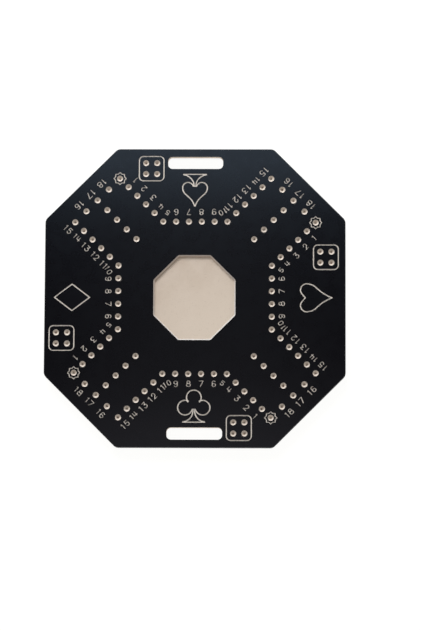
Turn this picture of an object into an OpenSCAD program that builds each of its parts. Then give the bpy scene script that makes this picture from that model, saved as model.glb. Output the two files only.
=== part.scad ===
// Jackaroo board: an octagonal marble-and-card game board for four players.
// A light core between two black sheets, edged with a black band, on four screwed rubber feet.
// Millimetres. +Z is up, +Y is away from the front player, and the origin is the middle of the footprint.

/* [Board] */
// Width across opposite straight sides, edge band included
board_w = 500; // [450:1:560]
// Length of a straight side, between two sloping sides
side_l = 260; // [250:1:290]
// Radius of the eight outer corners
corner_r = 12; // [4:0.5:24]
// Thickness of the core board
core_t = 10; // [9:0.5:18]
// Thickness of the black sheet on each face
sheet_t = 0.8; // [0.5:0.1:1.2]
// Thickness of the edge band
band_t = 1; // [0.6:0.1:2]
// Open joint where the two ends of the edge band meet
band_joint = 0.2; // [0.1:0.05:0.5]

/* [Track] */
// Distance of each straight row of holes from the rim
row_inset = 122.4; // [119:0.1:126]
// Hole pitch along the straight row
row_pitch = 21.4; // [20:0.1:22]
// Step of the sloping rows, along and across
slope_step = 14.54; // [14:0.01:15]
// Step of the home rows towards the middle, along and across
home_step = 16.3; // [14:0.1:17]

/* [Marble seats] */
// Radius of a seat at the face
seat_r = 5; // [4.5:0.1:6]
// Slope of the seat's cone, from the level
seat_slope = 45; // [35:1:50]
// Radius of the drilled centre
pilot_r = 1.5; // [1:0.1:2.5]
// Depth of the drilled centre below the face
pilot_depth = 6.2; // [5.8:0.1:8]

/* [Bases] */
// Hole pitch in a base
base_pitch = 18.5; // [17:0.1:19]
// Outer width of a base's frame line
frame_w = 43.1; // [42:0.1:44.5]
// Outer corner radius of the frame line
frame_r = 8; // [4:0.5:12]
// Space between a hand slot and the frame line beside it
base_slot_gap = 6; // [4:0.1:7]
// Sideways place of a base on a side with no hand slot
base_x_plain = 68.1; // [60:0.1:74]
// Distance of the middle of a base from the rim
base_inset = 32.7; // [28:0.1:36]
// The same distance for the left player's base
base_inset_left = 28.7; // [28:0.1:36]

/* [Lines] */
// Width of the suit lines
line_w = 2.1; // [1.6:0.1:3]
// Width of the frame lines round the bases
frame_line = 1.9; // [1.4:0.1:2.6]
// Width of the star lines
star_line = 1.6; // [1.2:0.1:2.4]
// Radius of the star's tips, to the middle of the line
star_tip_r = 10.1; // [9.4:0.1:11]
// Radius of the star's valleys, to the middle of the line
star_valley_r = 8; // [7.6:0.1:8.6]

/* [Numbers] */
// Height of a digit
num_h = 10.7; // [10:0.1:12]
// Width of a digit
num_w = 7.4; // [7:0.1:8]
// Width of a digit's line
num_line = 1.4; // [1.2:0.1:2.2]
// Distance between the middles of two digits
digit_pitch = 9.1; // [8.8:0.1:9.4]
// Distance from the middle of a hole to the middle of its number
num_gap = 16.4; // [15.5:0.1:17]
// The same distance for the numbers 11 to 15
slope_gap = 17.2; // [16:0.1:18]
// The same distance for the numbers 16 to 18
corner_gap = 15.8; // [15:0.1:16.5]
// The same distance for the number 10, where the row bends
bend_gap = 18.4; // [17:0.1:19]
// How far a number stands to the right of its hole
num_shift = 0.3; // [0:0.1:0.6]

/* [Suits] */
// Radius of the club's lobes
club_r = 12.2; // [11:0.1:13]
// Distance of the middle of the club's top lobe from the rim
club_top_inset = 83.3; // [82:0.1:85]
// Distance of the middles of the club's side lobes from the rim
club_side_inset = 66.3; // [65:0.1:68]
// Sideways place of the club's side lobes
club_side_x = 14.5; // [13:0.1:16]
// Radius of the curved stem under the club
club_stem_r = 17.5; // [14:0.1:22]
// Half length of the foot line of the club
club_foot_half = 18.2; // [16:0.1:20]
// Radius of the curved stem under the spade
spade_stem_r = 21; // [16:0.1:24]
// Half length of the foot line of the spade
spade_foot_half = 19.1; // [16:0.1:20]
// Distance of both foot lines from the rim
stem_inset = 42.3; // [41.5:0.1:44]
// Radius of the spade's lobes
spade_r = 9.1; // [8:0.1:10]
// Distance of the spade's tip from the rim
spade_tip_inset = 96; // [94:0.1:100]
// Distance of the middles of the spade's lobes from the rim
spade_lobe_inset = 65.1; // [63:0.1:66]
// Radius of the heart's lobes
heart_r = 10.4; // [9:0.1:11]
// Distance of the middles of the heart's lobes from the rim
heart_lobe_inset = 64.5; // [62:0.1:67]
// Distance of the heart's tip from the rim
heart_tip_inset = 22.4; // [20:0.1:28]
// Distance of the middle of the diamond from the rim
diamond_inset = 45.6; // [44:0.1:50]
// Half width of the diamond
diamond_half_w = 22.3; // [18:0.1:24]
// Half length of the diamond
diamond_half_l = 29.3; // [26:0.1:31]

/* [Tray] */
// Width of the tray at the face
tray_w = 136.5; // [120:0.5:140]
// Length of the tray at the face
tray_l = 142.5; // [120:0.5:146]
// Length that each sloping side takes off the tray's sides
tray_cut = 41.5; // [36:0.5:48]
// Radius of the tray's corners
tray_r = 5; // [3:0.5:8]
// Depth of the tray below the face
tray_depth = 5; // [4.2:0.1:6]
// Width of the sloping rim round the tray
tray_bevel = 2; // [1:0.1:2.4]
// Sideways place of the tray and of the front and rear suits
middle_x = -1; // [-2:0.1:2]

/* [Hand slots] */
// Length of a slot
slot_l = 92; // [86:0.5:95]
// Width of a slot
slot_w = 20.3; // [18:0.1:22]
// Corner radius of a slot
slot_r = 7.5; // [4:0.1:8.5]
// Distance of the middle of a slot from the rim
slot_inset = 23.2; // [22:0.1:25]

/* [Feet] */
// Distance of the feet from the sloping sides, along and across
foot_inset = 14; // [12:0.5:20]
// Height of a foot
foot_h = 6; // [5.6:0.1:10]
// Diameter of a foot where it meets the board
foot_d = 19; // [17:0.5:22]
// Diameter of a foot where it meets the table
foot_tip_d = 16; // [15:0.5:16.5]
// Diameter of the recess that takes the washer and the screw head
recess_d = 10; // [9.8:0.1:11]
// Thickness of rubber between the washer and the board
foot_seat_t = 2; // [1.6:0.1:2.2]
// Diameter of the washer
washer_d = 9.4; // [8.6:0.1:9.6]
// Thickness of the washer
washer_t = 0.8; // [0.5:0.1:1]
// Diameter of the screw
screw_d = 3.5; // [3:0.1:4]
// Length of the screw under its head
screw_l = 10; // [8:0.5:11]
// Diameter of the screw's head
head_d = 7; // [6:0.1:8]
// Height of the screw's head
head_h = 2.2; // [1.8:0.1:2.4]
// Length of the screw's point
point_l = 2.5; // [1.5:0.1:3]

/* [Hidden] */
$fn = 48;

// Levels, from the table up
under_z = foot_h;
core_z = under_z + sheet_t;
core_top_z = core_z + core_t;
face_z = core_top_z + sheet_t;

// What a cut reaches past a face
over = 1;
// Radial gap round the screw and between the washer and its recess
screw_gap = 0.05;
// Length of the hole past the screw's point
screw_hole_spare = 0.5;

// Thickness of the slices between which the tray's sloping rim is stretched
hair = 0.02;
// Facets of a whole turn: of the outlines' corners, of the engraved curves, of the digits, of the cutter
// and of the wide hollow curves
corner_fn = 48;
curve_fn = 36;
digit_fn = 14;
cutter_fn = 8;
bow_fn = 90;

// Places that are measured from the rim, as distances from the middle of the board
rim = board_w / 2;
corner_cut = rim - side_l / 2;
row_y = rim - row_inset;
base_y = rim - base_inset;
base_y_left = rim - base_inset_left;
base_x_slot = slot_l / 2 + base_slot_gap + frame_w / 2;
club_top_y = rim - club_top_inset;
club_side_y = rim - club_side_inset;
stem_y = rim - stem_inset;
spade_tip_y = rim - spade_tip_inset;
spade_lobe_y = rim - spade_lobe_inset;
heart_lobe_y = rim - heart_lobe_inset;
heart_tip_y = rim - heart_tip_inset;
diamond_y = rim - diamond_inset;
slot_y = rim - slot_inset;
foot_xy = rim - corner_cut / 2 - foot_inset;

// Players sit at the front, left, rear and right: a quarter turn clockwise for each
players = [0:3];
front = 0;
left = 1;
rear = 2;
right = 3;
function player_turn(p) = -90 * p;
function has_slot(p) = p == front || p == rear;

// Seats of one player's stretch of track, numbered from 1 beside the star to 18 before the next star
row_half = 2.5 * row_pitch;
star_x = row_half + 5 * slope_step;
star_y = row_y + 5 * slope_step;
// The corner row closes the ring: its last step lands on the next player's star
corner_step = (row_y - row_half) / 4;
first_row_hole = 5;
last_row_hole = 10;
last_slope_hole = 15;
last_hole = 18;
home_hole = 17;
home_count = 4;

function hole_at(n) =
    n <= first_row_hole ? [row_half, -row_y] + (first_row_hole - n) * slope_step * [1, -1]
    : n <= last_row_hole ? [row_half - (n - first_row_hole) * row_pitch, -row_y]
    : n <= last_slope_hole ? [-row_half, -row_y] + (n - last_row_hole) * slope_step * [-1, -1]
    : [-star_x, -star_y] + (n - last_slope_hole) * corner_step * [-1, 1];

function home_at(k) = hole_at(home_hole) + k * [home_step, home_step];

function base_at(p) = [has_slot(p) ? base_x_slot : base_x_plain, p == left ? -base_y_left : -base_y];

// Direction from a hole to its number, and the turn of the number, both from upright
function num_side(n) =
    n < first_row_hole ? -45
    : n == first_row_hole ? -25
    : n < last_row_hole ? 0
    : n == last_row_hole ? 22.5
    : n <= last_slope_hole ? 45
    : -45;
function num_turn(n) =
    n < first_row_hole ? -45
    : n == first_row_hole ? -37
    : n < last_row_hole ? 0
    : n == last_row_hole ? 30
    : n <= last_slope_hole ? 45
    : -45;
function gap_of(n) =
    n == last_row_hole ? bend_gap
    : n > last_slope_hole ? corner_gap
    : n > last_row_hole ? slope_gap
    : num_gap;
// The small steps by which the numbers 1 to 18 stand off their regular places
num_steps = [[-0.2, 0.2], [0.3, -0.3], [-0.7, 0.3], [0.7, 0.3], [-0.7, -0.3], [-0.5, 0.1],
    [-0.1, -0.1], [0.3, 0], [0.6, -0.4], [0, -0.2], [0.2, 0.9], [0, 1],
    [-0.6, -0.1], [-1.7, 0.2], [-0.9, -0.6], [0, -0.2], [-0.4, 0.4], [0, 0]];
function num_at(n) = hole_at(n) + gap_of(n) * [sin(num_side(n)), -cos(num_side(n))] + num_steps[n - 1];

feet = [[-1, -1], [1, -1], [-1, 1], [1, 1]];
function foot_at(f) = foot_xy * feet[f];

// Outlines
function spot(centre, r, a) = centre + r * [cos(a), sin(a)];

// Points along an arc from angle a to angle b
function arc(centre, r, a, b, fn = curve_fn) =
    let (steps = max(2, ceil(abs(b - a) / 360 * fn)))
        [for (s = [0:steps]) spot(centre, r, a + (b - a) * s / steps)];

// Points along a hollow curve of radius r from a to b, which bends round a middle on its left
function bow(a, b, r) =
    let (half = (b - a) / 2, reach = sqrt(r * r - half * half) / norm(half),
        centre = (a + b) / 2 + reach * [-half[1], half[0]],
        start = heading(centre, a), sweep = turn_between(start, heading(centre, b)))
        arc(centre, r, start, start + sweep, bow_fn);

function mirrored(points) = [for (q = points) [-q[0], q[1]]];
function but_last(points) = [for (i = [0:len(points) - 2]) points[i]];
function backwards(points) = [for (i = [len(points) - 1:-1:0]) points[i]];
function joined(lists) = [for (list = lists, q = list) q];
function closed(points) = concat(points, [points[0]]);

// Corners of an octagon w wide and l long whose sloping sides take cut off the straight ones
function octagon_corners(w, l, cut) =
    let (x = w / 2, y = l / 2, u = x - cut, v = y - cut)
        [[x, v], [u, y], [-u, y], [-x, v], [-x, -v], [-u, -y], [u, -y], [x, -v]];
// The cut of the same octagon when all its sides move in by t
function cut_inside(cut, t) = cut - (2 - sqrt(2)) * t;
function rounded_octagon(w, l, cut, r) =
    let (centres = octagon_corners(w - 2 * r, l - 2 * r, cut_inside(cut, r)))
        joined([for (i = [0:7]) arc(centres[i], r, 45 * i, 45 * (i + 1), corner_fn)]);
function board_outline(inside) =
    let (w = board_w - 2 * inside)
        rounded_octagon(w, w, cut_inside(corner_cut, inside), corner_r - inside);
function tray_outline(inside) =
    let (w = tray_w - 2 * inside, l = tray_l - 2 * inside)
        rounded_octagon(w, l, cut_inside(tray_cut, inside), tray_r - inside);

function rounded_rect(w, l, r, fn = curve_fn) =
    let (x = w / 2 - r, y = l / 2 - r, centres = [[x, y], [-x, y], [-x, -y], [x, -y]])
        joined([for (i = [0:3]) arc(centres[i], r, 90 * i, 90 * (i + 1), fn)]);

function star_outline() =
    [for (i = [0:15]) spot([0, 0], i % 2 == 0 ? star_tip_r : star_valley_r, 22.5 * i)];

// The outline that a round cutter leaves along a row of points.
// Turns sharper than this get a round outer corner
sharp_turn = 110;

function heading(a, b) = atan2(b[1] - a[1], b[0] - a[0]);
function turn_between(h1, h2) =
    let (t = h2 - h1)
        t > 180 ? t - 360 : t < -180 ? t + 360 : t;

// Left edge of the line at b, on the way from a over b to c
function edge_at(a, b, c, r) =
    let (h = heading(a, b), t = turn_between(h, heading(b, c)))
        t < -sharp_turn ? arc(b, r, h + 90, h + t + 90, cutter_fn)
        : [spot(b, r / cos(t / 2), h + t / 2 + 90)];
function left_edge(points, r) =
    let (last = len(points) - 1, h = heading(points[last - 1], points[last]))
        concat(joined([for (i = [1:1:last - 1]) edge_at(points[i - 1], points[i], points[i + 1], r)]),
            arc(points[last], r, h + 90, h - 90, cutter_fn));
function loop_edge(points, r) =
    let (n = len(points))
        joined([for (i = [0:n - 1]) edge_at(points[(i + n - 1) % n], points[i], points[(i + 1) % n], r)]);

// A line with two ends
module line(points, width) {
    polygon(concat(left_edge(points, width / 2), left_edge(backwards(points), width / 2)));
}

// A line that closes on itself
module loop(points, width) {
    one = loop_edge(points, width / 2);
    other = loop_edge(backwards(points), width / 2);
    polygon(concat(one, other),
        [[for (i = [0:len(one) - 1]) i], [for (i = [0:len(other) - 1]) len(one) + i]]);
}

module on_each_side() {
    for (p = players) rotate(player_turn(p)) {
        $player = p;
        children();
    }
}

// Digits, drawn round their own middle by the middle of the line
dx = (num_w - num_line) / 2;
dy = (num_h - num_line) / 2;
// Height of the closed round of 6 and 9, and of the two rounds of an 8
bowl_h = 1.08 * dy;
eight_top_h = dy;
eight_top_w = 1.56 * dx;
// How far the back of a 6 stands inside the widest point of its round
back_inset = 0.2;

// Width of each digit from 0 to 9 against num_w
digit_widths = [0.98, 1, 0.9, 1.02, 0.98, 0.94, 0.96, 1.08, 1.08, 0.99];
// Width, height and pitch of a number against the usual ones: a few are cut smaller or closer than the rest
function num_size(n) =
    n == 4 ? [1.07, 0.8, 1]
    : n == 5 ? [0.9, 0.79, 1]
    : n == 10 ? [0.88, 0.88, 0.92]
    : n == 11 ? [1, 1, 0.81]
    : n == 12 ? [1, 1, 0.98]
    : n == 14 ? [0.98, 0.8, 0.9]
    : [1, 1, 1];

// Drops each point of a closed row that is nearly the same as the next one
function distinct(points) =
    let (n = len(points))
        [for (i = [0:n - 1]) if (norm(points[i] - points[(i + 1) % n]) > 0.2) points[i]];
function oval(w, h, centre) =
    distinct(h > w ? concat(arc(centre + [0, (h - w) / 2], w / 2, 0, 180, digit_fn),
            arc(centre - [0, (h - w) / 2], w / 2, 180, 360, digit_fn))
        : concat(arc(centre + [(w - h) / 2, 0], h / 2, -90, 90, digit_fn),
            arc(centre - [(w - h) / 2, 0], h / 2, 90, 270, digit_fn)));

// The closed rounds of a digit, and its open lines
function digit_loops(d) =
    d == 0 ? [oval(2 * dx, 2 * dy, [0, 0])]
    : d == 6 ? [oval(2 * dx, bowl_h, [0, bowl_h / 2 - dy])]
    : d == 8 ? [oval(2 * dx, bowl_h, [0, bowl_h / 2 - dy]),
        oval(eight_top_w, eight_top_h, [0, dy - eight_top_h / 2])]
    : [];
function digit_lines(d) =
    let (low = [0, dx - dy], top = [0, dy - dx], back_x = dx - back_inset)
        d == 1 ? [[[-0.3 * dx, 0.68 * dy], [0.3 * dx, dy], [0.3 * dx, -dy]]]
        : d == 2 ? [concat(arc(top, dx, 175, -48, digit_fn), [[-dx, -dy], [dx, -dy]])]
        : d == 3 ? [[[-0.85 * dx, dy], [0.9 * dx, dy], [0, 0.1 * dy]],
            arc(low, dx, 100, -155, digit_fn)]
        : d == 4 ? [[[-0.95 * dx, dy], [-0.95 * dx, -0.42 * dy], [dx, -0.42 * dy]],
            [[0.46 * dx, dy], [0.46 * dx, -dy]]]
        : d == 5 ? [[[0.9 * dx, dy], [-0.8 * dx, dy], [-0.9 * dx, 0.1 * dy]],
            concat([[-0.9 * dx, 0.1 * dy]], arc(low, dx, 128, -155, digit_fn))]
        : d == 6 ? [concat([[-back_x, bowl_h / 2 - dy]], arc([0, dy - back_x], back_x, 180, 32, digit_fn))]
        : d == 7 ? [[[-dx, dy], [dx, dy], [-0.4 * dx, -dy]]]
        : [];

// The points of a digit in a number that is cut to its own size
function sized(points, d, size) = [for (p = points) [p.x * size.x * digit_widths[d], p.y * size.y]];

module digit(d, size) {
    drawn = d == 9 ? 6 : d;
    rotate(d == 9 ? 180 : 0) {
        for (points = digit_loops(drawn)) loop(sized(points, d, size), num_line);
        for (points = digit_lines(drawn)) line(sized(points, d, size), num_line);
    }
}

module number(n) {
    size = num_size(n);
    if (n < 10) {
        digit(n, size);
    } else {
        half_pitch = digit_pitch * size.z / 2;
        translate([-half_pitch, 0]) digit(1, size);
        translate([half_pitch, 0]) digit(n - 10, size);
    }
}

// Suits, upright for their own player, who sits towards -Y

// One side of the stem under the club or the spade: up from the foot line over a hollow curve to the neck
stem_rise = 13.5;
stem_lift = 0.7;
function stem_side(foot_half, neck_x, r) =
    concat(bow([0.4 - foot_half, stem_lift - stem_y], [-neck_x, stem_rise - stem_y], r),
        [[-neck_x / 2, stem_rise + 5.5 - stem_y]]);

module stem(side, foot_half) {
    line(side, line_w);
    line(mirrored(side), line_w);
    line([[-foot_half, -stem_y], [foot_half, -stem_y]], line_w);
}

club_side = concat(arc([-club_side_x, -club_side_y], club_r, 62, 335), [[-2.3, -club_side_y - 2.9]]);

module club() {
    line(arc([0, -club_top_y], club_r, -38, 218), line_w);
    line(concat(club_side, backwards(mirrored(club_side))), line_w);
    stem(stem_side(club_foot_half, 2.2, club_stem_r), club_foot_half);
}

// Half of the spade: from the notch round a lobe, over a wider shoulder and up the hollow curve of the tip
spade_lobe = [-spade_r - 2.5, -spade_lobe_y];
spade_shoulder_r = 14;
spade_shoulder = [spade_lobe[0] - spade_r + spade_shoulder_r, -spade_lobe_y];
spade_hollow_r = 28;
spade_hollow_rise = 13.2;
spade_side = concat([[2.3, -spade_lobe_y - 2.6], [-2.3, -spade_lobe_y - 2.6]],
    arc(spade_lobe, spade_r, -22, -180), arc(spade_shoulder, spade_shoulder_r, 172, 135),
    bow([-8.3, -spade_tip_y - spade_hollow_rise], [-0.6, -spade_tip_y], spade_hollow_r));

module spade() {
    line(spade_side, line_w);
    line(mirrored(spade_side), line_w);
    stem(stem_side(spade_foot_half, 2.5, spade_stem_r), spade_foot_half);
}

// The heart: from the notch round a lobe, over a wider shoulder and along a hollow side to the tip
heart_lobe = [heart_r + 2.7, -heart_lobe_y];
heart_shoulder_r = 22.5;
heart_shoulder = [heart_lobe[0] + heart_r - heart_shoulder_r, -heart_lobe_y];
heart_turn = spot(heart_shoulder, heart_shoulder_r, -45);
heart_hollow_r = 74;
heart_side = concat(arc(heart_lobe, heart_r, 135, 0), arc(heart_shoulder, heart_shoulder_r, -8, -38),
    but_last(bow(heart_turn, [0, -heart_tip_y], heart_hollow_r)));

module heart() {
    loop(concat([[0, -heart_lobe_y + 2.3]], heart_side, [[0, -heart_tip_y]],
        backwards(mirrored(heart_side))), line_w);
}

module diamond() {
    loop([for (q = [[0, 1], [-1, 0], [0, -1], [1, 0]])
        [q[0] * diamond_half_w, q[1] * diamond_half_l - diamond_y]], line_w);
}

module suit(p) {
    if (p == front) translate([middle_x, 0]) club();
    if (p == left) diamond();
    if (p == rear) translate([-middle_x, 0]) spade();
    if (p == right) heart();
}

// Every line that is cut for player p
module engraving(p) {
    inner = frame_w - frame_line;
    translate(base_at(p)) loop(rounded_rect(inner, inner, frame_r - frame_line / 2), frame_line);
    translate([star_x, -star_y]) loop(star_outline(), star_line);
    suit(p);
    for (n = [1:last_hole]) translate(num_at(n)) rotate(num_turn(n)) translate([num_shift, 0]) number(n);
}

// The middle of every marble seat
module at_seats() {
    on_each_side() {
        translate([star_x, -star_y]) children();
        for (n = [1:last_hole]) translate(hole_at(n)) children();
        for (k = [1:home_count]) translate(home_at(k)) children();
        for (x = [-0.5, 0.5], y = [-0.5, 0.5]) translate(base_at($player) + base_pitch * [x, y]) children();
    }
}

module slots() {
    for (y = [-slot_y, slot_y]) translate([0, y])
        polygon(rounded_rect(slot_l, slot_w, slot_r, corner_fn));
}

module at_foot(f) {
    translate(foot_at(f)) children();
}

// Holes for the four foot screws, from the underside up
module screw_holes() {
    depth = screw_l - washer_t - foot_seat_t + screw_hole_spare;
    for (f = [0:3]) at_foot(f)
        translate([0, 0, under_z - over]) cylinder(r = screw_d / 2 + screw_gap, h = depth + over);
}

// A marble seat: a cone down from the face of the core, and a drilled centre
module seat_cut() {
    cone_depth = (seat_r - pilot_r) * tan(seat_slope);
    bottom = -(pilot_depth - sheet_t);
    translate([0, 0, core_top_z]) rotate_extrude()
        polygon([[0, bottom], [pilot_r, bottom], [pilot_r, -cone_depth],
            [seat_r, 0], [seat_r, over], [0, over]]);
}

module tray_cut_out() {
    translate([middle_x, 0, 0]) {
        translate([0, 0, face_z - tray_depth]) linear_extrude(tray_depth) polygon(tray_outline(tray_bevel));
        hull() {
            translate([0, 0, core_top_z - tray_bevel]) linear_extrude(hair) polygon(tray_outline(tray_bevel));
            translate([0, 0, core_top_z]) linear_extrude(over) polygon(tray_outline(0));
        }
    }
}

module core_board() {
    color("burlywood") difference() {
        translate([0, 0, core_z]) linear_extrude(core_t) polygon(board_outline(band_t));
        at_seats() seat_cut();
        tray_cut_out();
        translate([0, 0, core_z - over]) linear_extrude(core_t + 2 * over) slots();
        screw_holes();
    }
}

module top_laminate() {
    color([0.1, 0.1, 0.11]) translate([0, 0, core_top_z]) linear_extrude(sheet_t) difference() {
        polygon(board_outline(band_t));
        translate([middle_x, 0]) polygon(tray_outline(0));
        slots();
        at_seats() circle(r = seat_r);
        on_each_side() engraving($player);
    }
}

module bottom_laminate() {
    color([0.1, 0.1, 0.11]) difference() {
        translate([0, 0, under_z]) linear_extrude(sheet_t) polygon(board_outline(band_t));
        translate([0, 0, under_z - over]) linear_extrude(sheet_t + 2 * over) slots();
        screw_holes();
    }
}

module edge_band() {
    height = face_z - under_z;
    color([0.08, 0.08, 0.09]) translate([0, 0, under_z]) difference() {
        linear_extrude(height) polygon(board_outline(0));
        translate([0, 0, -over]) linear_extrude(height + 2 * over) polygon(board_outline(band_t));
        translate([-band_joint / 2, board_w / 2 - band_t - over, -over])
            cube([band_joint, band_t + 2 * over, height + 2 * over]);
    }
}

module rubber_foot(f) {
    color([0.13, 0.13, 0.13]) at_foot(f) difference() {
        cylinder(d1 = foot_tip_d, d2 = foot_d, h = foot_h);
        translate([0, 0, -over]) cylinder(d = recess_d, h = foot_h - foot_seat_t + over);
        translate([0, 0, -over]) cylinder(r = screw_d / 2 + screw_gap, h = foot_h + 2 * over);
    }
}

module foot_washer(f) {
    color("silver") at_foot(f) translate([0, 0, foot_h - foot_seat_t - washer_t]) difference() {
        cylinder(d = washer_d, h = washer_t);
        translate([0, 0, -over]) cylinder(r = screw_d / 2 + screw_gap, h = washer_t + 2 * over);
    }
}

module foot_screw(f) {
    head_z = foot_h - foot_seat_t - washer_t;
    color("gainsboro") at_foot(f) translate([0, 0, head_z]) {
        translate([0, 0, -head_h]) cylinder(d = head_d, h = head_h);
        cylinder(d = screw_d, h = screw_l - point_l);
        translate([0, 0, screw_l - point_l]) cylinder(d1 = screw_d, d2 = 0, h = point_l);
    }
}

core_board();
top_laminate();
bottom_laminate();
edge_band();
rubber_foot(0);  // rubber_foot_front_left
rubber_foot(1);  // rubber_foot_front_right
rubber_foot(2);  // rubber_foot_rear_left
rubber_foot(3);  // rubber_foot_rear_right
foot_washer(0);  // foot_washer_front_left
foot_washer(1);  // foot_washer_front_right
foot_washer(2);  // foot_washer_rear_left
foot_washer(3);  // foot_washer_rear_right
foot_screw(0);  // foot_screw_front_left
foot_screw(1);  // foot_screw_front_right
foot_screw(2);  // foot_screw_rear_left
foot_screw(3);  // foot_screw_rear_right
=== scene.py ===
"""Looks, light and camera for the octagonal marble and card board.

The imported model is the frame. The core, the two face sheets and the edge band are dressed where they stand. The feet,
their washers and their screws are modelled again, with the grooves, threads and cross recesses that the plain solids
leave out. Everything is in metres, with +Z up out of the playing face and +Y away from the front player.
"""

from __future__ import annotations

import logging
import math
from collections.abc import Iterable, Sequence
from dataclasses import dataclass, field
from enum import Enum

import bmesh
import bpy
from mathutils import Matrix, Vector

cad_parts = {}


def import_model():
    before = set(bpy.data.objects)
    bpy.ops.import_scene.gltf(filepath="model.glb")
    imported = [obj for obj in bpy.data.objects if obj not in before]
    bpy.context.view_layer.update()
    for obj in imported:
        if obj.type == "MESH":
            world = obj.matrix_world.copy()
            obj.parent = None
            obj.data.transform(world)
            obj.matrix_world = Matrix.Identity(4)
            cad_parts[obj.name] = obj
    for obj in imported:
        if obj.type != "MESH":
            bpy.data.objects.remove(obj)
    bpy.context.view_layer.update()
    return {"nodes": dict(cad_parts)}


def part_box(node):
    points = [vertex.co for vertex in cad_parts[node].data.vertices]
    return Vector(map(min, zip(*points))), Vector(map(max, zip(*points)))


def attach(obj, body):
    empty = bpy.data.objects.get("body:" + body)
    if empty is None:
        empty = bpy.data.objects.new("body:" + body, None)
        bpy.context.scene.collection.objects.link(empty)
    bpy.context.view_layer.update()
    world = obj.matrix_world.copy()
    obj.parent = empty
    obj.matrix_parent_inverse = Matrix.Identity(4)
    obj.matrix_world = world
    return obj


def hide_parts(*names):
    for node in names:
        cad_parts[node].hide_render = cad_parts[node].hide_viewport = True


LOG = logging.getLogger("board")
MM = 0.001
UP = Vector((0.0, 0.0, 1.0))
SAME_POINT = 0.002 * MM
CREASE_DEGREES = 38.0

Colour = tuple[float, float, float]
Socket = bpy.types.NodeSocket
Corner = tuple[float, float]
Span = tuple[float, float]
Triple = tuple[float, float, float]


class Seat(Enum):
    """The four corners of the underside that carry a foot."""

    FRONT_LEFT = "front_left"
    FRONT_RIGHT = "front_right"
    REAR_LEFT = "rear_left"
    REAR_RIGHT = "rear_right"


class Slot(Enum):
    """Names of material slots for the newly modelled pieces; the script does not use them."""

    RUBBER = "rubber"
    WASHER = "washer"
    SCREW = "screw"


class Shape(Enum):
    """Whether a light panel lights the matt surfaces, or is only mirrored in the glossy ones."""

    LAMP = "lamp"
    SHEEN = "sheen"


@dataclass(frozen=True)
class Noise:
    """A cloudy pattern: features per metre, how many finer layers lie on top, and how strong these are."""

    per_m: float
    detail: float
    roughness: float = 0.5


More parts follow.
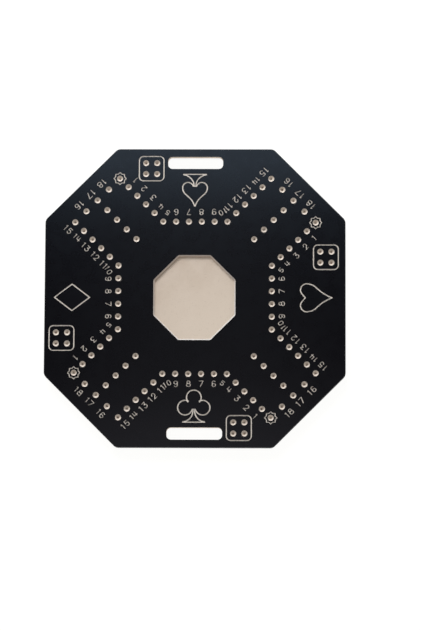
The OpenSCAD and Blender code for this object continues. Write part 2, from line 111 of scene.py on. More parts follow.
class NodeSheet:
    """A node tree with short calls for the few nodes that the finishes share."""

    def __init__(self, owner: bpy.types.Material | bpy.types.World) -> None:
        """Empties the owner's tree.

        Args:
            owner: The material or world whose nodes are written.
        """
        owner.use_nodes = True
        self.tree = owner.node_tree
        self.tree.nodes.clear()

    def add(self, kind: str, **settings: object) -> bpy.types.Node:
        """Adds a node.

        Args:
            kind: Blender's name of the node type.
            **settings: Properties of the node.

        Returns:
            The new node.
        """
        node = self.tree.nodes.new(kind)
        for name, value in settings.items():
            setattr(node, name, value)
        return node

    def link(self, source: Socket, target: Socket) -> None:
        """Joins two sockets.

        Args:
            source: The output that gives the value.
            target: The input that takes it.
        """
        self.tree.links.new(source, target)

    def place(self) -> Socket:
        """Returns the surface point in the board's own frame, in metres."""
        return self.add("ShaderNodeTexCoord").outputs["Object"]

    def height(self, place: Socket) -> Socket:
        """Takes the height out of a surface point.

        Args:
            place: The surface point.

        Returns:
            Its height above the table.
        """
        split = self.add("ShaderNodeSeparateXYZ")
        self.link(place, split.inputs[0])
        return split.outputs["Z"]

    def mapped(self, source: Socket, move: Triple = (0.0, 0.0, 0.0), scale: Triple = (1.0, 1.0, 1.0)) -> Socket:
        """Moves and stretches a vector.

        Args:
            source: The vector to change.
            move: What is added after the stretch.
            scale: The stretch along X, Y and Z.

        Returns:
            The changed vector.
        """
        node = self.add("ShaderNodeMapping")
        node.inputs["Location"].default_value = move
        node.inputs["Scale"].default_value = scale
        self.link(source, node.inputs["Vector"])
        return node.outputs["Vector"]

    def noise(self, source: Socket, noise: Noise) -> Socket:
        """Makes a cloudy pattern.

        Args:
            source: The vector that the pattern follows.
            noise: The pattern's fineness.

        Returns:
            The pattern's value, around one half.
        """
        node = self.add("ShaderNodeTexNoise")
        node.inputs["Scale"].default_value = noise.per_m
        node.inputs["Detail"].default_value = noise.detail
        node.inputs["Roughness"].default_value = noise.roughness
        self.link(source, node.inputs["Vector"])
        return node.outputs[0]

    def spread(self, source: Socket, low: float, high: float, start: float = 0.3, end: float = 0.7) -> Socket:
        """Rescales a value and clamps it.

        Args:
            source: The value.
            low: The result at start.
            high: The result at end.
            start: The value that gives low.
            end: The value that gives high.

        Returns:
            The rescaled value.
        """
        node = self.add("ShaderNodeMapRange", interpolation_type="SMOOTHSTEP")
        for name, value in (("From Min", start), ("From Max", end), ("To Min", low), ("To Max", high)):
            node.inputs[name].default_value = value
        self.link(source, node.inputs["Value"])
        return node.outputs["Result"]

    def combine(self, operation: str, first: Socket, second: Socket) -> Socket:
        """Works out one value from two.

        Args:
            operation: Blender's name of the operation.
            first: The first value.
            second: The second value.

        Returns:
            The result.
        """
        node = self.add("ShaderNodeMath", operation=operation)
        self.link(first, node.inputs[0])
        self.link(second, node.inputs[1])
        return node.outputs[0]

    def blend(self, amount: Socket, first: Socket | Colour, second: Socket | Colour) -> Socket:
        """Blends two colours.

        Args:
            amount: How much of the second colour shows.
            first: The colour at zero.
            second: The colour at one.

        Returns:
            The blended colour.
        """
        node = self.add("ShaderNodeMix", data_type="RGBA")
        self.link(amount, node.inputs[0])
        for socket, colour in ((node.inputs[6], first), (node.inputs[7], second)):
            if isinstance(colour, tuple):
                socket.default_value = (*colour, 1.0)
            else:
                self.link(colour, socket)
        return node.outputs[2]

    def bumped(self, height: Socket, strength: float, depth: float, below: Socket | None = None) -> Socket:
        """Turns a height into a surface direction.

        Args:
            height: The height pattern.
            strength: How much of it shows.
            depth: The height of a full step, in metres.
            below: An earlier surface direction to add to.

        Returns:
            The new surface direction.
        """
        node = self.add("ShaderNodeBump")
        node.inputs["Strength"].default_value = strength
        node.inputs["Distance"].default_value = depth
        self.link(height, node.inputs["Height"])
        if below is not None:
            self.link(below, node.inputs["Normal"])
        return node.outputs["Normal"]

    def surface(self, colour: Socket, roughness: Socket, normal: Socket, metal: float, gloss: float) -> None:
        """Closes the sheet with the surface shader.

        Args:
            colour: The surface colour.
            roughness: How dull it is.
            normal: The bumped surface direction.
            metal: One for bare metal, zero for the rest.
            gloss: The strength of its mirror layer.
        """
        shader = self.add("ShaderNodeBsdfPrincipled")
        shader.inputs["Metallic"].default_value = metal
        shader.inputs["Specular IOR Level"].default_value = gloss
        self.link(colour, shader.inputs["Base Color"])
        self.link(roughness, shader.inputs["Roughness"])
        self.link(normal, shader.inputs["Normal"])
        self.link(shader.outputs[0], self.add("ShaderNodeOutputMaterial").inputs["Surface"])


@dataclass(frozen=True)
class Fibreboard:
    """Bare machined fibreboard: pale tan with a paler, denser skin, faintly mottled, and fine fibres left standing.

    The tray's sloping rim carries painted shade all round, with a browner painted shadow at its foot, and the tray's
    floor and rim carry painted light that grows towards one corner in front. Heights are above the table.
    """

    crest: Colour = (0.803, 0.730, 0.648)
    skin: Colour = (0.722, 0.640, 0.560)
    pale: Colour = (0.624, 0.525, 0.437)
    warm: Colour = (0.575, 0.473, 0.384)
    # Painted light: the tray's floor is made paler towards one front corner.
    floor_painted_light: Colour = (0.690, 0.588, 0.488)
    # Painted shade on the tray's sloping rim: a browner painted shadow at its foot, darker painted shade up the slope.
    rim_foot_painted_shadow: Colour = (0.510, 0.360, 0.235)
    rim_slope_painted_shade: Colour = (0.555, 0.480, 0.425)
    # Painted light: the tray's rim is made paler towards the same front corner.
    rim_painted_light: Colour = (0.620, 0.595, 0.567)
    fibre: Colour = (0.390, 0.296, 0.222)
    skin_heights: Span = (12.40 * MM, 14.80 * MM)
    crest_heights: Span = (16.60 * MM, 16.76 * MM)
    tray_reach: Span = (80.0 * MM, 90.0 * MM)
    tray_foot: Span = (12.65 * MM, 12.90 * MM)
    tray_rise: Span = (13.60 * MM, 15.20 * MM)
    paler_way: Triple = (0.45, -0.89, 0.0)
    paler_span: Span = (-70.0 * MM, 70.0 * MM)
    mottle: Noise = Noise(42.0, 4.0, 0.55)
    fibre_noise: Noise = Noise(900.0, 2.0)
    fibre_stretch: float = 0.22
    fibre_shift: Triple = (0.31, 0.17, 0.0)
    fibre_span: Span = (0.62, 0.82)
    fibre_shown: float = 0.45
    fibre_bump: float = 0.55
    fibre_stands: float = 0.05 * MM
    fleck_noise: Noise = Noise(2600.0, 2.0, 0.6)
    fleck_span: Span = (0.60, 0.76)
    fleck_shown: float = 0.28
    fleck_bump: float = 0.35
    fleck_stands: float = 0.03 * MM
    dullness: Span = (0.84, 0.96)
    gloss: float = 0.25

    def make(self) -> bpy.types.Material:
        """Returns the finish as a material."""
        material = bpy.data.materials.new("fibreboard")
        sheet = NodeSheet(material)
        place = sheet.place()
        fibres = self.fibres(sheet, place)
        fleck = sheet.noise(place, self.fleck_noise)
        base = self.in_tray(sheet, place, self.by_height(sheet, place))
        base = sheet.blend(sheet.spread(fibres, 0.0, self.fibre_shown, *self.fibre_span), base, self.fibre)
        base = sheet.blend(sheet.spread(fleck, 0.0, self.fleck_shown, *self.fleck_span), base, self.fibre)
        normal = sheet.bumped(fibres, self.fibre_bump, self.fibre_stands)
        normal = sheet.bumped(fleck, self.fleck_bump, self.fleck_stands, normal)
        sheet.surface(base, sheet.spread(fleck, *self.dullness), normal, metal=0.0, gloss=self.gloss)
        return material

    def fibres(self, sheet: NodeSheet, place: Socket) -> Socket:
        """Scatters short fibres that lie along and across the board.

        Args:
            sheet: The material's nodes.
            place: The surface point.

        Returns:
            The fibres' height pattern.
        """
        along = sheet.mapped(place, scale=(1.0, self.fibre_stretch, 1.0))
        across = sheet.mapped(place, self.fibre_shift, (self.fibre_stretch, 1.0, 1.0))
        patterns = [sheet.noise(way, self.fibre_noise) for way in (along, across)]
        return sheet.combine("MAXIMUM", *patterns)

    def by_height(self, sheet: NodeSheet, place: Socket) -> Socket:
        """Colours the core from its mottled middle up to its skin.

        Args:
            sheet: The material's nodes.
            place: The surface point.

        Returns:
            The colour.
        """
        mottle = sheet.noise(place, self.mottle)
        height = sheet.height(place)
        base = sheet.blend(sheet.spread(mottle, 0.0, 1.0), self.pale, self.warm)
        base = sheet.blend(sheet.spread(height, 0.0, 1.0, *self.skin_heights), base, self.skin)
        return sheet.blend(sheet.spread(height, 0.0, 1.0, *self.crest_heights), base, self.crest)

    def in_tray(self, sheet: NodeSheet, place: Socket, base: Socket) -> Socket:
        """Paints light on the tray's floor towards a front corner, and shade on its sloping rim, lighter towards it.

        Args:
            sheet: The material's nodes.
            place: The surface point.
            base: The core's colour.

        Returns:
            The changed colour.
        """
        reach = sheet.add("ShaderNodeVectorMath", operation="LENGTH")
        lean = sheet.add("ShaderNodeVectorMath", operation="DOT_PRODUCT")
        lean.inputs[1].default_value = self.paler_way
        for node in (reach, lean):
            sheet.link(place, node.inputs[0])
        tray = sheet.spread(reach.outputs["Value"], 1.0, 0.0, *self.tray_reach)
        # Mask of the painted light, growing towards one front corner.
        painted_light_mask = sheet.spread(lean.outputs["Value"], 0.0, 1.0, *self.paler_span)
        # Painted light on the tray's floor.
        base = sheet.blend(sheet.combine("MULTIPLY", tray, painted_light_mask), base, self.floor_painted_light)
        height = sheet.height(place)
        # Painted shade on the sloping rim, with a browner painted shadow at its foot.
        rim = sheet.blend(sheet.spread(height, 0.0, 1.0, *self.tray_rise), self.rim_foot_painted_shadow, self.rim_slope_painted_shade)
        # Painted light lifts the rim's painted shade towards the front corner.
        rim = sheet.blend(painted_light_mask, rim, self.rim_painted_light)
        above_floor = sheet.spread(height, 0.0, 1.0, *self.tray_foot)
        return sheet.blend(sheet.combine("MULTIPLY", tray, above_floor), base, rim)


@dataclass(frozen=True)
class BlackSheet:
    """Satin black face sheet: nearly even, with a fine pebble and faint handling marks in its gloss."""

    deep: Colour = (0.0018, 0.0016, 0.0025)
    lifted: Colour = (0.0031, 0.0027, 0.0040)
    cloud: Noise = Noise(14.0, 5.0, 0.6)
    smudge: Noise = Noise(55.0, 4.0, 0.6)
    marks_span: Span = (0.16, 0.36)
    pebble: Noise = Noise(1600.0, 2.0)
    pebble_span: Span = (0.35, 0.75)
    pebble_bump: float = 0.30
    pebble_stands: float = 0.015 * MM
    dullness: Span = (0.265, 0.31)
    gloss: float = 0.22

    def make(self) -> bpy.types.Material:
        """Returns the finish as a material."""
        material = bpy.data.materials.new("black_sheet")
        sheet = NodeSheet(material)
        place = sheet.place()
        cloud = sheet.noise(place, self.cloud)
        smudge = sheet.noise(place, self.smudge)
        pebble = sheet.noise(place, self.pebble)
        colour = sheet.blend(sheet.spread(pebble, 0.0, 1.0, *self.pebble_span), self.deep, self.lifted)
        marks = sheet.combine("MULTIPLY", cloud, smudge)
        roughness = sheet.spread(marks, *self.dullness, *self.marks_span)
        normal = sheet.bumped(pebble, self.pebble_bump, self.pebble_stands)
        sheet.surface(colour, roughness, normal, metal=0.0, gloss=self.gloss)
        return material


@dataclass(frozen=True)
class BlackBand:
    """Matt black edge band with the fine lengthwise grain that such a band is rolled with."""

    deep: Colour = (0.0046, 0.0048, 0.0052)
    lifted: Colour = (0.0085, 0.0088, 0.0094)
    grain: Noise = Noise(2200.0, 3.0, 0.6)
    grain_stretch: Triple = (0.06, 0.06, 1.0)
    grain_bump: float = 0.4
    grain_stands: float = 0.02 * MM
    pebble: Noise = Noise(900.0, 2.0)
    dullness: Span = (0.44, 0.56)
    gloss: float = 0.35

    def make(self) -> bpy.types.Material:
        """Returns the finish as a material."""
        material = bpy.data.materials.new("black_band")
        sheet = NodeSheet(material)
        place = sheet.place()
        grain = sheet.noise(sheet.mapped(place, scale=self.grain_stretch), self.grain)
        pebble = sheet.noise(place, self.pebble)
        colour = sheet.blend(sheet.spread(grain, 0.0, 1.0), self.deep, self.lifted)
        roughness = sheet.spread(pebble, *self.dullness)
        normal = sheet.bumped(grain, self.grain_bump, self.grain_stands)
        sheet.surface(colour, roughness, normal, metal=0.0, gloss=self.gloss)
        return material


@dataclass(frozen=True)
class FootRubber:
    """Moulded black rubber, dull, with a fine cast skin and a little dust on it."""

    deep: Colour = (0.013, 0.013, 0.0135)
    dusty: Colour = (0.034, 0.033, 0.031)
    dust: Noise = Noise(260.0, 4.0, 0.6)
    dust_span: Span = (0.45, 0.75)
    dust_shown: float = 0.8
    skin: Noise = Noise(2400.0, 2.0)
    skin_bump: float = 0.5
    skin_stands: float = 0.03 * MM
    dullness: Span = (0.66, 0.80)
    gloss: float = 0.4

    def make(self) -> bpy.types.Material:
        """Returns the finish as a material."""
        material = bpy.data.materials.new("foot_rubber")
        sheet = NodeSheet(material)
        place = sheet.place()
        dust = sheet.noise(place, self.dust)
        skin = sheet.noise(place, self.skin)
        colour = sheet.blend(sheet.spread(dust, 0.0, self.dust_shown, *self.dust_span), self.deep, self.dusty)
        roughness = sheet.spread(skin, *self.dullness)
        normal = sheet.bumped(skin, self.skin_bump, self.skin_stands)
        sheet.surface(colour, roughness, normal, metal=0.0, gloss=self.gloss)
        return material


@dataclass(frozen=True)
class TurnedMetal:
    """Bright metal with fine rings round the axis of each foot, where it was turned or rubbed."""

    name: str
    bright: Colour
    dull: Colour
    reach: Vector
    rings_per_m: float = 900.0
    rings_waver: float = 1.2
    rings_detail: float = 2.0
    rings_bump: float = 0.25
    rings_stand: float = 0.01 * MM
    bloom: Noise = Noise(420.0, 4.0, 0.6)
    glossiest: float = 0.26
    dullest: float = 0.42
    gloss: float = 0.5

    def make(self) -> bpy.types.Material:
        """Returns the finish as a material."""
        material = bpy.data.materials.new(self.name)
        sheet = NodeSheet(material)
        folded = sheet.add("ShaderNodeVectorMath", operation="ABSOLUTE")
        sheet.link(sheet.place(), folded.inputs[0])
        centred = sheet.mapped(folded.outputs[0], (-self.reach.x, -self.reach.y, 0.0))
        rings = sheet.add("ShaderNodeTexWave", wave_type="RINGS", rings_direction="Z")
        rings.inputs["Scale"].default_value = self.rings_per_m
        rings.inputs["Distortion"].default_value = self.rings_waver
        rings.inputs["Detail"].default_value = self.rings_detail
        sheet.link(centred, rings.inputs["Vector"])
        bloom = sheet.noise(centred, self.bloom)
        colour = sheet.blend(sheet.spread(bloom, 0.0, 1.0), self.bright, self.dull)
        roughness = sheet.spread(bloom, self.glossiest, self.dullest)
        normal = sheet.bumped(rings.outputs["Fac"], self.rings_bump, self.rings_stand)
        sheet.surface(colour, roughness, normal, metal=1.0, gloss=self.gloss)
        return material


@dataclass(frozen=True)
class PaleFloor:
    """The plain pale ground, which gives back most of its own light so that no hard shadow lies on it."""

    glow: Colour = (1.0, 0.998, 0.985)
    glow_strength: float = 0.95
    matt: Colour = (0.115, 0.115, 0.112)
    matt_soft: Colour = (0.105, 0.105, 0.103)
    cloud: Noise = Noise(1.4, 3.0)
    dullness: float = 0.95

    def make(self) -> bpy.types.Material:
        """Returns the finish as a material."""
        material = bpy.data.materials.new("pale_floor")
        sheet = NodeSheet(material)
        cloud = sheet.noise(sheet.place(), self.cloud)
        shader = sheet.add("ShaderNodeBsdfPrincipled")
        shader.inputs["Roughness"].default_value = self.dullness
        shader.inputs["Specular IOR Level"].default_value = 0.0
        shader.inputs["Emission Color"].default_value = (*self.glow, 1.0)
        shader.inputs["Emission Strength"].default_value = self.glow_strength
        sheet.link(sheet.blend(cloud, self.matt, self.matt_soft), shader.inputs["Base Color"])
        sheet.link(shader.outputs[0], sheet.add("ShaderNodeOutputMaterial").inputs["Surface"])
        return material


class Turner:
    """Shapes round pieces about an upright axis."""

    def __init__(self, centre: Vector, steps: int) -> None:
        """Takes the axis.

        Args:
            centre: The point of the axis at the table.
            steps: Faces in a full turn.
        """
        self.centre = centre
        self.steps = steps
        self.mesh = bmesh.new()

    def turn(self, outline: Sequence[Corner], closed: bool) -> None:
        """Spins an outline into a solid ring or a solid that closes on the axis.

        Args:
            outline: Radius and height of each corner, in metres.
            closed: True if the last corner joins the first.
        """
        corners = [self.mesh.verts.new(self.centre + Vector((radius, 0.0, height))) for radius, height in outline]
        pairs = list(zip(corners, corners[1:]))
        if closed:
            pairs.append((corners[-1], corners[0]))
        edges = [self.mesh.edges.new(pair) for pair in pairs]
        bmesh.ops.spin(
            self.mesh,
            geom=corners + edges,
            cent=self.centre,
            axis=UP,
            angle=math.tau,
            steps=self.steps,
            use_merge=True,
        )
        bmesh.ops.remove_doubles(self.mesh, verts=self.mesh.verts, dist=SAME_POINT)
        bmesh.ops.recalc_face_normals(self.mesh, faces=self.mesh.faces)

    def wind(self, rib: Sequence[Corner], pitch: float, turns: float, sink: float) -> None:
        """Winds a rib into a thread and closes its two ends.

        Args:
            rib: Radius and height of each corner of the rib's section.
            pitch: Climb of one turn.
            turns: How often it goes round.
            sink: How far its last section runs into the shank.
        """
        thread = bmesh.new()
        corners = [thread.verts.new(self.centre + Vector((radius, 0.0, height))) for radius, height in rib]
        start = thread.faces.new(corners)
        steps = round(self.steps * turns)
        grown = bmesh.ops.spin(
            thread,
            geom=[start],
            cent=self.centre,
            axis=UP,
            dvec=UP * (pitch * turns / steps),
            angle=math.tau * turns,
            steps=steps,
        )
        last = [item for item in grown["geom_last"] if isinstance(item, bmesh.types.BMVert)]
        middle = sum((corner.co for corner in last), Vector()) / len(last)
        inward = (self.centre - middle) * Vector((1.0, 1.0, 0.0))
        bmesh.ops.translate(thread, verts=last, vec=inward.normalized() * sink)
        bmesh.ops.recalc_face_normals(thread, faces=thread.faces)
        joint = bpy.data.meshes.new("thread")
        thread.to_mesh(joint)
        thread.free()
        self.mesh.from_mesh(joint)
        bpy.data.meshes.remove(joint)

    def soften(self, width: float, sharpest: float = 30.0) -> None:
        """Rounds every edge that turns more sharply than an angle.

        Args:
            width: Width of the rounding, in metres.
            sharpest: The angle in degrees.
        """
        edges = [edge for edge in self.mesh.edges if edge.calc_face_angle(0.0) > math.radians(sharpest)]
        bmesh.ops.bevel(
            self.mesh,
            geom=edges,
            affect="EDGES",
            offset=width,
            offset_type="OFFSET",
            segments=2,
            profile=0.5,
            material=-1,
            clamp_overlap=True,
        )

    def finish(self, name: str) -> bpy.types.Object:
        """Returns the shape as a smooth-shaded object at the origin.

        Args:
            name: The object's name.
        """
        data = bpy.data.meshes.new(name)
        self.mesh.to_mesh(data)
        self.mesh.free()
        data.shade_smooth()
        data.set_sharp_from_angle(angle=math.radians(CREASE_DEGREES))
        piece = bpy.data.objects.new(name, data)
        bpy.context.scene.collection.objects.link(piece)
        return piece


def stand_in(piece: bpy.types.Object, node: str, finish: bpy.types.Material) -> None:
    """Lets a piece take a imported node's place.

    Args:
        piece: The new piece.
        node: The node that it stands for.
        finish: Its material.
    """
    piece.data.materials.append(finish)
    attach(piece, "root")
    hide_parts(node)
    LOG.info("%s: %d faces for %s", piece.name, len(piece.data.polygons), node)


def centre_of(node: str) -> Vector:
    """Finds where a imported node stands.

    Args:
        node: The node's name.

    Returns:
        The middle of its box, brought down to the table.
    """
    low, high = (Vector(corner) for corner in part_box(node))
    middle = (low + high) / 2
    return Vector((middle.x, middle.y, 0.0))


@dataclass
class BoardPanel:
    """The board itself: the core, its two face sheets and the band round its rim."""

    nodes: dict[str, bpy.types.Object]

    def dress(self) -> None:
        """Makes the board's finishes and lays them on its pieces."""
        sheet = BlackSheet().make()
        finishes = {
            "core_board": Fibreboard().make(),
            "top_laminate": sheet,
            "bottom_laminate": sheet,
            "edge_band": BlackBand().make(),
        }
        for name, finish in finishes.items():
            node = self.nodes[name]
            node.data.materials.clear()
            node.data.materials.append(finish)
            LOG.info("%s: dressed in %s", name, finish.name)


@dataclass
class RubberFoot:
    """A round foot that narrows to the table, with a recess for its washer and screw and two grooves in its tread."""

    seat: Seat
    finish: bpy.types.Material
    height: float = 6.0 * MM
    top_radius: float = 9.5 * MM
    tread_radius: float = 8.0 * MM
    recess_radius: float = 5.0 * MM
    recess_top: float = 4.0 * MM
    hole_radius: float = 1.8 * MM
    grooves: tuple[float, ...] = (6.05 * MM, 7.0 * MM)
    groove_width: float = 0.36 * MM
    groove_depth: float = 0.4 * MM
    groove_draft: float = 0.06 * MM
    rim_drop: float = 0.9 * MM
    rim_step: float = 0.12 * MM
    rim_lift: float = 0.15 * MM
    rounding: float = 0.14 * MM
    steps: int = 64

    def outline(self) -> list[Corner]:
        """Returns the foot's section, from the recess down, along the tread and up the outside."""
        corners = [
            (self.hole_radius, self.height),
            (self.hole_radius, self.recess_top),
            (self.recess_radius, self.recess_top),
            (self.recess_radius, 0.0),
        ]
        for radius in self.grooves:
            near, far = radius - self.groove_width / 2, radius + self.groove_width / 2
            corners += [
                (near, 0.0),
                (near + self.groove_draft, self.groove_depth),
                (far - self.groove_draft, self.groove_depth),
                (far, 0.0),
            ]
        flare = self.top_radius - self.tread_radius
        rim_inset = flare * self.rim_drop / self.height
        corners += [
            (self.tread_radius, 0.0),
            (self.top_radius - rim_inset - self.rim_step, self.height - self.rim_drop),
            (self.top_radius, self.height - self.rim_drop + self.rim_lift),
            (self.top_radius, self.height),
        ]
        return corners

    def build(self) -> bpy.types.Object:
        """Returns the foot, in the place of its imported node."""
        node = f"rubber_foot_{self.seat.value}"
        turner = Turner(centre_of(node), self.steps)
        turner.turn(self.outline(), closed=True)
        turner.soften(self.rounding)
        piece = turner.finish(f"moulded_foot_{self.seat.value}")
        stand_in(piece, node, self.finish)
        return piece


@dataclass
class FootWasher:
    """A plain stamped washer: one edge rolled over by the punch, the other left crisper."""

    seat: Seat
    finish: bpy.types.Material
    hole_radius: float = 1.8 * MM
    radius: float = 4.7 * MM
    bottom: float = 3.2 * MM
    top: float = 4.0 * MM
    roll: float = 0.16 * MM
    rounding: float = 0.05 * MM
    steps: int = 64

    def outline(self) -> list[Corner]:
        """Returns the washer's section, down the hole, along the underside and up the outside."""
        return [
            (self.hole_radius, self.top),
            (self.hole_radius, self.bottom + self.roll),
            (self.hole_radius + self.roll, self.bottom),
            (self.radius - self.roll, self.bottom),
            (self.radius, self.bottom + self.roll),
            (self.radius, self.top),
        ]

    def build(self) -> bpy.types.Object:
        """Returns the washer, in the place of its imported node."""
        node = f"foot_washer_{self.seat.value}"
        turner = Turner(centre_of(node), self.steps)
        turner.turn(self.outline(), closed=True)
        turner.soften(self.rounding)
        piece = turner.finish(f"stamped_washer_{self.seat.value}")
        stand_in(piece, node, self.finish)
        return piece


@dataclass
class FootScrew:
    """A pan-head wood screw that points up into the core, with a cross recess in its head and a coarse thread.

    The crown gives the radius and rise of the head's corners from the middle of its face outwards. The rib's rises
    are those of its other three corners above the first.
    """

    seat: Seat
    finish: bpy.types.Material
    head_radius: float = 3.5 * MM
    head_bottom: float = 1.0 * MM
    head_top: float = 3.2 * MM
    head_step: float = 0.1 * MM
    crown: tuple[Corner, ...] = (
        (0.0, 0.0),
        (1.3 * MM, 0.03 * MM),
        (2.2 * MM, 0.20 * MM),
        (2.9 * MM, 0.56 * MM),
        (3.32 * MM, 1.05 * MM),
        (3.5 * MM, 1.55 * MM),
    )
    neck_step: float = 0.2 * MM
    neck_length: float = 0.3 * MM
    shank_radius: float = 1.28 * MM
    tip: float = 13.2 * MM
    point: float = 2.6 * MM
    pitch: float = 1.35 * MM
    rib_gap: float = 1.0 * MM
    rib_root: float = 0.15 * MM
    rib_radius: float = 1.74 * MM
    rib_rises: Triple = (0.30 * MM, 0.36 * MM, 0.62 * MM)
    rib_sink: float = 0.4 * MM
    arm_length: float = 3.9 * MM
    arm_width: float = 0.85 * MM
    arm_taper: Triple = (0.42, 0.62, 1.0)
    recess_depth: float = 1.35 * MM
    recess_spare: float = 0.5 * MM
    recess_turn: float = 0.3
    body_steps: int = 48
    thread_steps: int = 24

    def body(self) -> list[Corner]:
        """Returns the section of the head, the shank and the point, from the head's crown to the tip."""
        under = self.head_top
        return [
            *((radius, self.head_bottom + rise) for radius, rise in self.crown),
            (self.head_radius, under - self.head_step),
            (self.head_radius - self.head_step, under),
            (self.shank_radius + self.neck_step, under),
            (self.shank_radius, under + self.neck_length),
            (self.shank_radius, self.tip - self.point),
            (0.0, self.tip),
        ]

    def rib(self) -> list[Corner]:
        """Returns the section of the thread where it starts, a little above the head."""
        start = self.head_top + self.rib_gap
        root = self.shank_radius - self.rib_root
        crest_start, crest_end, end = (start + rise for rise in self.rib_rises)
        return [(root, start), (self.rib_radius, crest_start), (self.rib_radius, crest_end), (root, end)]

    def cutter(self, centre: Vector) -> bpy.types.Object:
        """Returns the cross that is taken out of the head.

        Args:
            centre: The point of the screw's axis at the table.
        """
        cross = bmesh.new()
        for turn in (0.0, math.pi / 2):
            bar = bmesh.ops.create_cube(cross, size=1.0)["verts"]
            depth = self.recess_depth + self.recess_spare
            bmesh.ops.scale(cross, verts=bar, vec=(self.arm_length, self.arm_width, depth))
            inner = [corner for corner in bar if corner.co.z > 0.0]
            bmesh.ops.scale(cross, verts=inner, vec=self.arm_taper)
            spin = Matrix.Rotation(turn + self.recess_turn, 3, "Z")
            bmesh.ops.rotate(cross, verts=bar, cent=(0, 0, 0), matrix=spin)
            lift = self.head_bottom + self.recess_depth - depth / 2
            bmesh.ops.translate(cross, verts=bar, vec=centre + UP * lift)
        data = bpy.data.meshes.new("cross")
        cross.to_mesh(data)
        cross.free()
        tool = bpy.data.objects.new("cross", data)
        bpy.context.scene.collection.objects.link(tool)
        return tool

    def build(self) -> bpy.types.Object:
        """Returns the screw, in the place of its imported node."""
        node = f"foot_screw_{self.seat.value}"
        centre = centre_of(node)
        turner = Turner(centre, self.body_steps)
        turner.turn(self.body(), closed=False)
        piece = turner.finish(f"cross_screw_{self.seat.value}")
        self.recess(piece, centre)
        winder = Turner(centre, self.thread_steps)
        winder.mesh.from_mesh(piece.data)
        rib = self.rib()
        room = self.tip - self.point - rib[-1][1]
        winder.wind(rib, self.pitch, room / self.pitch, self.rib_sink)
        winder.mesh.to_mesh(piece.data)
        winder.mesh.free()
        piece.data.set_sharp_from_angle(angle=math.radians(CREASE_DEGREES))
        stand_in(piece, node, self.finish)
        return piece

    def recess(self, piece: bpy.types.Object, centre: Vector) -> None:
        """Cuts the cross recess into the head.

        Args:
            piece: The screw.
            centre: The point of its axis at the table.
        """
        tool = self.cutter(centre)
        cut = piece.modifiers.new("recess", "BOOLEAN")
        cut.operation = "DIFFERENCE"
        cut.solver = "EXACT"
        cut.use_self = True
        cut.object = tool
        shaped = bpy.data.meshes.new_from_object(piece.evaluated_get(bpy.context.evaluated_depsgraph_get()))
        piece.modifiers.clear()
        plain, piece.data = piece.data, shaped
        name = plain.name
        bpy.data.meshes.remove(plain)
        shaped.name = name
        cross = tool.data
        bpy.data.objects.remove(tool)
        bpy.data.meshes.remove(cross)


@dataclass
class Underside:
    """The four feet with their hardware."""

    pieces: list[bpy.types.Object] = field(default_factory=list)

    def build(self) -> None:
        """Makes a foot, a washer and a screw at each seat."""
        reach = centre_of("rubber_foot_rear_right")
        rubber = FootRubber().make()
        steel = TurnedMetal("washer_steel", (0.60, 0.60, 0.59), (0.44, 0.44, 0.43), reach, dullest=0.5).make()
        zinc = TurnedMetal("zinc_plate", (0.70, 0.71, 0.74), (0.56, 0.57, 0.60), reach, glossiest=0.2).make()
        for seat in Seat:
            self.pieces.append(RubberFoot(seat, rubber).build())
            self.pieces.append(FootWasher(seat, steel).build())
            self.pieces.append(FootScrew(seat, zinc).build())
        LOG.info("underside: %d pieces in place", len(self.pieces))


@dataclass(frozen=True)
class Panel:
    """A flat light panel that faces a point of the board, with its size in metres."""

    name: str
    place: Vector
    aim: Vector
    width: float
    length: float
    watts: float
    colour: Colour
    shape: Shape

    def hang(self) -> None:
        """Hangs the panel in the scene."""
        data = bpy.data.lights.new(self.name, "AREA")
        data.shape = "RECTANGLE"
        data.size = self.width
        data.size_y = self.length
        data.energy = self.watts
        data.color = self.colour
        lamp = bpy.data.objects.new(self.name, data)
        lamp.location = self.place
        lamp.rotation_euler = (self.place - self.aim).to_track_quat("Z", "Y").to_euler()
        lamp.visible_camera = False
        if self.shape is Shape.SHEEN:
            lamp.visible_diffuse = False
        else:
            lamp.visible_glossy = False
        bpy.context.scene.collection.objects.link(lamp)
        LOG.info("light %s hung", self.name)


@dataclass(frozen=True)
class Sky:
    """The soft light from all round: dark overhead, paler towards the horizon."""

    overhead: Colour = (0.085, 0.090, 0.100)
    slant: Colour = (0.63, 0.62, 0.61)
    horizon: Colour = (0.90, 0.89, 0.87)
    low_span: Span = (0.05, 0.62)
    high_span: Span = (0.62, 0.95)

    def hang(self) -> None:
        """Makes the scene's world."""
        world = bpy.data.worlds.new("soft_room")
        bpy.context.scene.world = world
        sheet = NodeSheet(world)
        split = sheet.add("ShaderNodeSeparateXYZ")
        sheet.link(sheet.add("ShaderNodeTexCoord").outputs["Generated"], split.inputs[0])
        low = sheet.spread(split.outputs["Z"], 0.0, 1.0, *self.low_span)
        high = sheet.spread(split.outputs["Z"], 0.0, 1.0, *self.high_span)
        colour = sheet.blend(high, sheet.blend(low, self.horizon, self.slant), self.overhead)
        glow = sheet.add("ShaderNodeBackground")
        sheet.link(colour, glow.inputs["Color"])
        sheet.link(glow.outputs[0], sheet.add("ShaderNodeOutputWorld").inputs["Surface"])


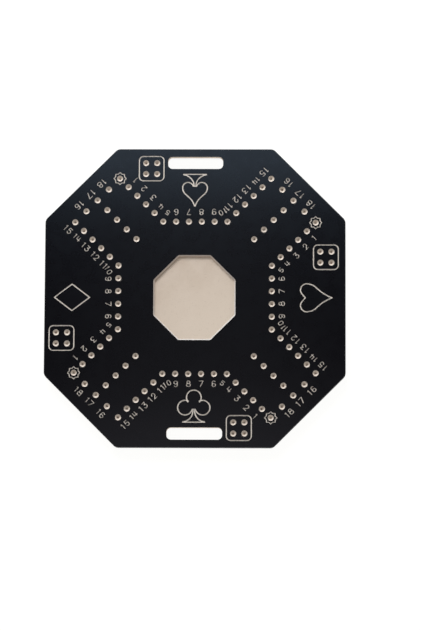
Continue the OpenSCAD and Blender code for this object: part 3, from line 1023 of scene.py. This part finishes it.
@dataclass
class Studio:
    """The floor, the lights and the camera, whose turn is in degrees and whose lens and film are in millimetres."""

    floor_half: float = 20.0
    camera_place: Vector = field(default_factory=lambda: Vector((0.12874, -0.68600, 4.95028)))
    camera_turn: Vector = field(default_factory=lambda: Vector((7.57693, 1.15671, 0.27553)))
    lens: float = 171.16
    film_width: float = 36.0
    farthest: float = 100.0

    def lay_floor(self) -> None:
        """Lays the pale floor under the feet."""
        sheet = bmesh.new()
        bmesh.ops.create_grid(sheet, x_segments=2, y_segments=2, size=self.floor_half)
        data = bpy.data.meshes.new("floor")
        sheet.to_mesh(data)
        sheet.free()
        data.materials.append(PaleFloor().make())
        floor = bpy.data.objects.new("floor", data)
        bpy.context.scene.collection.objects.link(floor)

    def panels(self) -> Iterable[Panel]:
        """Returns the light panels: one lamp far behind, and three that only the gloss of the black sheet shows."""
        yield Panel(
            name="key",
            place=Vector((-0.716, 2.674, 2.015)),
            aim=Vector((0.0, 0.0, 0.018)),
            width=2.2,
            length=1.3,
            watts=109.1,
            colour=(0.96, 0.98, 1.0),
            shape=Shape.LAMP,
        )
        yield Panel(
            name="rear_sheen",
            place=Vector((-0.03, 0.58, 0.62)),
            aim=Vector((-0.03, 0.58, 0.0)),
            width=0.8,
            length=0.56,
            watts=4.0,
            colour=(0.55, 0.76, 1.0),
            shape=Shape.SHEEN,
        )
        yield Panel(
            name="middle_sheen",
            place=Vector((-0.01, 0.22, 0.74)),
            aim=Vector((-0.01, 0.22, 0.0)),
            width=0.34,
            length=1.1,
            watts=0.235,
            colour=(0.92, 0.95, 1.0),
            shape=Shape.SHEEN,
        )
        yield Panel(
            name="front_sheen",
            place=Vector((0.02, -0.40, 0.62)),
            aim=Vector((0.02, -0.40, 0.0)),
            width=0.8,
            length=0.52,
            watts=0.85,
            colour=(0.90, 0.88, 1.0),
            shape=Shape.SHEEN,
        )

    def place_camera(self) -> None:
        """Sets the camera where the board was looked at from."""
        data = bpy.data.cameras.new("camera")
        data.lens = self.lens
        data.sensor_width = self.film_width
        data.clip_end = self.farthest
        camera = bpy.data.objects.new("camera", data)
        camera.location = self.camera_place
        camera.rotation_euler = [math.radians(angle) for angle in self.camera_turn]
        bpy.context.scene.collection.objects.link(camera)
        bpy.context.scene.camera = camera

    def build(self) -> None:
        """Sets up the whole studio."""
        self.lay_floor()
        Sky().hang()
        for panel in self.panels():
            panel.hang()
        self.place_camera()
        bpy.context.scene.view_settings.view_transform = "Standard"


def main() -> None:
    """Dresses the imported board, models its hardware and sets up the studio."""
    logging.basicConfig(level=logging.INFO, format="%(name)s: %(message)s")
    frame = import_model()
    BoardPanel(frame["nodes"]).dress()
    Underside().build()
    Studio().build()


if __name__ == "__main__":
    main()
